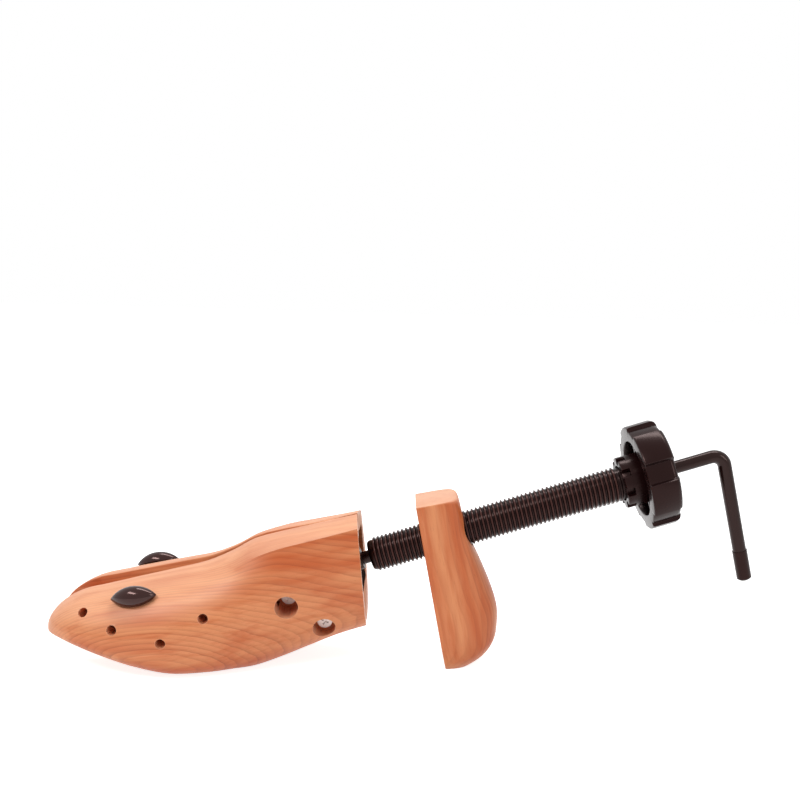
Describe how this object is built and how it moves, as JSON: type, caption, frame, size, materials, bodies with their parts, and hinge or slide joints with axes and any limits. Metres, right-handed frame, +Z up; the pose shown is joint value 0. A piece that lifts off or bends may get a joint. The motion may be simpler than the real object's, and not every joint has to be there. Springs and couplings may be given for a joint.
{
  "type": "shoe stretcher",
  "caption": "Wooden two way shoe stretcher with a split forefoot, a heel block on a threaded tube, a lobed knob, an L shaped handle and removable bumps.",
  "frame": {"origin": "middle of the footprint box on the floor, between toe tip and handle arm", "axes": "+X runs from the toe to the handle, +Y is across the object, to the right when facing the toe, +Z is up"},
  "size_m": [0.334, 0.0732, 0.1191],
  "materials": {
    "pine_wood": "sanded, unvarnished, satin",
    "dark_plastic": "gloss",
    "black_steel": "blackened, semi gloss",
    "dip_coat": "dipped, satin",
    "plain_steel": "zinc plated",
    "brass_parts": "turned"
  },
  "bodies": {
    "yoke": {"hinge_yoke": "black_steel", "hinge_pins": "plain_steel"},
    "left_half": {"forefoot_left": "pine_wood", "hinge_leaf_left": "plain_steel", "leaf_screws_left": "plain_steel", "spreader_pad_left": "plain_steel", "pad_screws_left": "plain_steel"},
    "right_half": {"forefoot_right": "pine_wood", "hinge_leaf_right": "plain_steel", "leaf_screws_right": "plain_steel", "spreader_pad_right": "plain_steel", "pad_screws_right": "plain_steel"},
    "wedge": {"spreader_wedge": "brass_parts"},
    "handle": {"handle_rod": "black_steel", "handle_dip": "dip_coat", "front_collar": "plain_steel", "rear_collar": "plain_steel", "thrust_collar": "plain_steel", "collar_pins": "plain_steel", "rod_end_nut": "plain_steel", "rear_washer": "plain_steel", "rod_clip": "plain_steel"},
    "knob_and_tube": {"threaded_tube": "dark_plastic", "knob": "dark_plastic", "knob_pin": "plain_steel"},
    "heel": {"heel_block": "pine_wood", "heel_bush": "brass_parts", "bush_screws": "plain_steel"},
    "left_bump": {"bump_left": "dark_plastic"},
    "right_bump": {"bump_right": "dark_plastic"}
  },
  "joints": [
    {"name": "handle_turn", "type": "hinge", "parent": "yoke", "child": "handle", "pos_m": [-0.0146, 0, 0.052], "axis": [0.9479, 0, 0.3185], "range_deg": [-2152, 2970]},
    {"name": "wedge_slide", "type": "slide", "parent": "yoke", "child": "wedge", "axis": [0.9479, 0, 0.3185], "range_m": [-0.0084, 0.0062]},
    {"name": "left_spread", "type": "hinge", "parent": "yoke", "child": "left_half", "pos_m": [-0.02787, -0.007, 0.04754], "axis": [-0.3185, 0, 0.9479], "range_deg": [-3.5, 2.55]},
    {"name": "right_spread", "type": "hinge", "parent": "yoke", "child": "right_half", "pos_m": [-0.02787, 0.007, 0.04754], "axis": [0.3185, 0, -0.9479], "range_deg": [-3.5, 2.55]},
    {"name": "knob_turn", "type": "hinge", "parent": "yoke", "child": "knob_and_tube", "pos_m": [-0.0146, 0, 0.052], "axis": [0.9479, 0, 0.3185], "range_deg": [-10800, 3960]},
    {"name": "heel_slide", "type": "slide", "parent": "yoke", "child": "heel", "axis": [0.9479, 0, 0.3185], "range_m": [-0.0221, 0.0601]},
    {"name": "left_bump_pull", "type": "slide", "parent": "left_half", "child": "left_bump", "axis": [-0.1532, -0.5576, 0.8158], "range_m": [0, 0.012]},
    {"name": "right_bump_pull", "type": "slide", "parent": "right_half", "child": "right_bump", "axis": [-0.167, 0.5569, 0.8136], "range_m": [0, 0.012]}
  ],
  "couplings": [
    {"joint": "wedge_slide", "follows": "handle_turn", "m_per_rad": -0.00015915},
    {"joint": "left_spread", "follows": "handle_turn", "ratio": -0.0011612},
    {"joint": "right_spread", "follows": "handle_turn", "ratio": -0.0011612},
    {"joint": "heel_slide", "follows": "knob_turn", "m_per_rad": -0.00031831}
  ]
}
